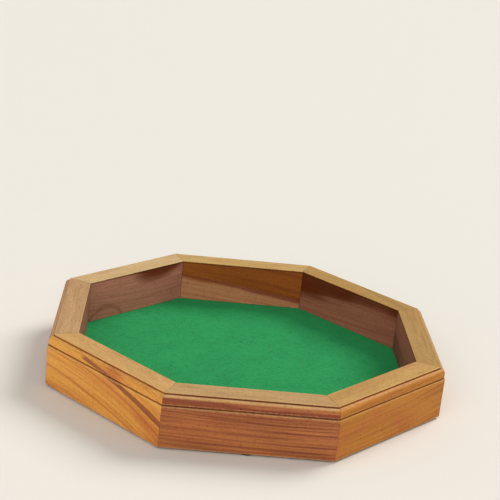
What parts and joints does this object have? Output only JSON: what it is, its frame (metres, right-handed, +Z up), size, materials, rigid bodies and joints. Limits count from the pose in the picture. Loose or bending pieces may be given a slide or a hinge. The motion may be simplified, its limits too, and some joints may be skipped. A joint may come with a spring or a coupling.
{
  "type": "wooden dice tray",
  "caption": "Octagonal wooden tray with a moulded rim and a green felt floor, for rolling dice in.",
  "frame": {"origin": "centre of the tray, on the surface that its foot pads stand on", "axes": "+Z up along the tray's axis, -Y square to the front stave, +X square to the right stave"},
  "size_m": [0.3048, 0.3048, 0.0426],
  "materials": {
    "golden_board": "satin lacquer over oiled hardwood, golden board with a dark heartwood streak",
    "russet_board": "satin lacquer over oiled hardwood, reddish-brown board",
    "amber_board": "satin lacquer over oiled hardwood, amber board",
    "beech_tongue": "bare planed beech",
    "plywood_panel": "bare sanded birch plywood",
    "green_felt": "short pressed wool felt",
    "dark_pad_felt": "dense self-adhesive felt",
    "pin_steel": "bright drawn steel"
  },
  "bodies": {
    "root": {"stave_right": "amber_board", "stave_back_right": "russet_board", "stave_back": "russet_board", "stave_back_left": "golden_board", "stave_left": "amber_board", "stave_front_left": "golden_board", "stave_front": "russet_board", "stave_front_right": "amber_board", "tongue_right_to_back_right": "beech_tongue", "tongue_back_right_to_back": "beech_tongue", "tongue_back_to_back_left": "beech_tongue", "tongue_back_left_to_left": "beech_tongue", "tongue_left_to_front_left": "beech_tongue", "tongue_front_left_to_front": "beech_tongue", "tongue_front_to_front_right": "beech_tongue", "tongue_front_right_to_right": "beech_tongue", "panel_pin_right_1": "pin_steel", "panel_pin_right_2": "pin_steel", "panel_pin_back_right_1": "pin_steel", "panel_pin_back_right_2": "pin_steel", "panel_pin_back_1": "pin_steel", "panel_pin_back_2": "pin_steel", "panel_pin_back_left_1": "pin_steel", "panel_pin_back_left_2": "pin_steel", "panel_pin_left_1": "pin_steel", "panel_pin_left_2": "pin_steel", "panel_pin_front_left_1": "pin_steel", "panel_pin_front_left_2": "pin_steel", "panel_pin_front_1": "pin_steel", "panel_pin_front_2": "pin_steel", "panel_pin_front_right_1": "pin_steel", "panel_pin_front_right_2": "pin_steel", "foot_pad_right": "dark_pad_felt", "foot_pad_back": "dark_pad_felt", "foot_pad_left": "dark_pad_felt", "foot_pad_front": "dark_pad_felt", "base_panel": "plywood_panel", "felt_lining": "green_felt"}
  },
  "joints": []
}
